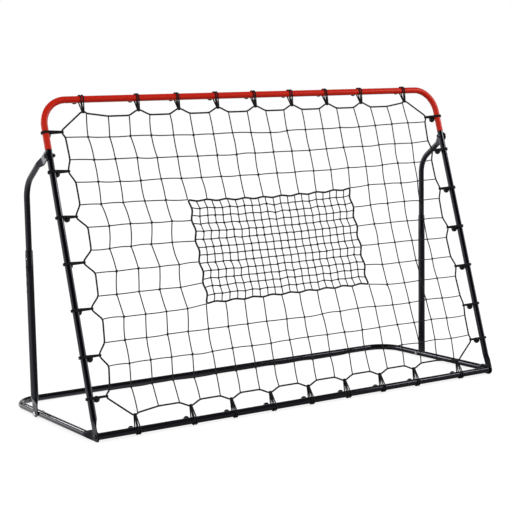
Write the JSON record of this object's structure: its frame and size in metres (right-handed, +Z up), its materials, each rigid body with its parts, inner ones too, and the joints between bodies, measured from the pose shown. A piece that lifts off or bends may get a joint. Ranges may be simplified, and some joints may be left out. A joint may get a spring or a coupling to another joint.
{
  "type": "practice goal net",
  "caption": "Tilting steel-tube rebound frame with a rope net and a fine-mesh target on elastic ball ties, held by two telescopic struts on a flat tube base.",
  "frame": {"origin": "centre of the footprint's bounding box, on the floor", "axes": "+X to the right along the rails, +Y to the back of the base, the net facing -Y, +Z up"},
  "size_m": [1.8792, 0.7309, 1.1873],
  "materials": {
    "black_coat": "satin black powder coat",
    "red_coat": "satin red powder coat",
    "net_twine": "matte braided twine",
    "edge_rope": "matte braided rope",
    "elastic_tie": "woven elastic cord and smooth ball",
    "black_bolt": "blackened",
    "zinc": "zinc plated"
  },
  "bodies": {
    "base": {"front_rail_left": "black_coat", "front_rail_right": "black_coat", "side_rail_left": "black_coat", "side_rail_right": "black_coat", "rear_corner_left": "black_coat", "rear_corner_right": "black_coat", "hinge_bolt_left": "black_bolt", "hinge_bolt_right": "black_bolt", "foot_bolt_left": "zinc", "foot_bolt_right": "zinc"},
    "frame": {"side_tube_left": "black_coat", "side_tube_right": "black_coat", "top_rail_left": "red_coat", "top_rail_right": "red_coat", "main_net": "net_twine", "border_rope": "edge_rope", "target_net": "net_twine", "target_rope": "edge_rope", "top_bolt_left": "black_bolt", "top_bolt_right": "black_bolt", "top_tie_1": "elastic_tie", "top_tie_2": "elastic_tie", "top_tie_3": "elastic_tie", "top_tie_4": "elastic_tie", "top_tie_5": "elastic_tie", "top_tie_6": "elastic_tie", "top_tie_7": "elastic_tie", "top_tie_8": "elastic_tie", "top_tie_9": "elastic_tie", "foot_tie_1": "elastic_tie", "foot_tie_2": "elastic_tie", "foot_tie_3": "elastic_tie", "foot_tie_4": "elastic_tie", "foot_tie_5": "elastic_tie", "foot_tie_6": "elastic_tie", "foot_tie_7": "elastic_tie", "foot_tie_8": "elastic_tie", "foot_tie_9": "elastic_tie", "left_tie_1": "elastic_tie", "left_tie_2": "elastic_tie", "left_tie_3": "elastic_tie", "left_tie_4": "elastic_tie", "left_tie_5": "elastic_tie", "left_tie_6": "elastic_tie", "left_tie_7": "elastic_tie", "right_tie_1": "elastic_tie", "right_tie_2": "elastic_tie", "right_tie_3": "elastic_tie", "right_tie_4": "elastic_tie", "right_tie_5": "elastic_tie", "right_tie_6": "elastic_tie", "right_tie_7": "elastic_tie"},
    "lower_left": {"strut_lower_left": "black_coat"},
    "upper_left": {"strut_upper_left": "black_coat"},
    "button_left": {"snap_button_left": "zinc"},
    "lower_right": {"strut_lower_right": "black_coat"},
    "upper_right": {"strut_upper_right": "black_coat"},
    "button_right": {"snap_button_right": "zinc"}
  },
  "joints": [
    {"name": "frame_tilt", "type": "hinge", "parent": "base", "child": "frame", "pos_m": [0, -0.34675, 0.01953], "axis": [-1, 0, 0], "range_deg": [0, 15]},
    {"name": "strut_swing_left", "type": "hinge", "parent": "base", "child": "lower_left", "pos_m": [-0.9256, 0.11325, 0.01476], "axis": [-1, 0, 0], "range_deg": [0, 15.9]},
    {"name": "strut_slide_left", "type": "slide", "parent": "lower_left", "child": "upper_left", "axis": [0, 0, 1], "range_m": [-0.122, 0]},
    {"name": "button_press_left", "type": "slide", "parent": "upper_left", "child": "button_left", "axis": [-1, 0, 0], "range_m": [0, 0.0045], "stiffness_N_per_m": 900, "springref_m": 0.0045},
    {"name": "strut_swing_right", "type": "hinge", "parent": "base", "child": "lower_right", "pos_m": [0.9256, 0.11325, 0.01476], "axis": [-1, 0, 0], "range_deg": [0, 15.9]},
    {"name": "strut_slide_right", "type": "slide", "parent": "lower_right", "child": "upper_right", "axis": [0, 0, 1], "range_m": [-0.122, 0]},
    {"name": "button_press_right", "type": "slide", "parent": "upper_right", "child": "button_right", "axis": [1, 0, 0], "range_m": [0, 0.0045], "stiffness_N_per_m": 900, "springref_m": 0.0045}
  ],
  "couplings": [
    {"joint": "strut_swing_left", "follows": "frame_tilt", "ratio": 1.0524},
    {"joint": "strut_slide_left", "follows": "frame_tilt", "m_per_rad": -0.4644},
    {"joint": "strut_swing_right", "follows": "frame_tilt", "ratio": 1.0524},
    {"joint": "strut_slide_right", "follows": "frame_tilt", "m_per_rad": -0.4644}
  ]
}
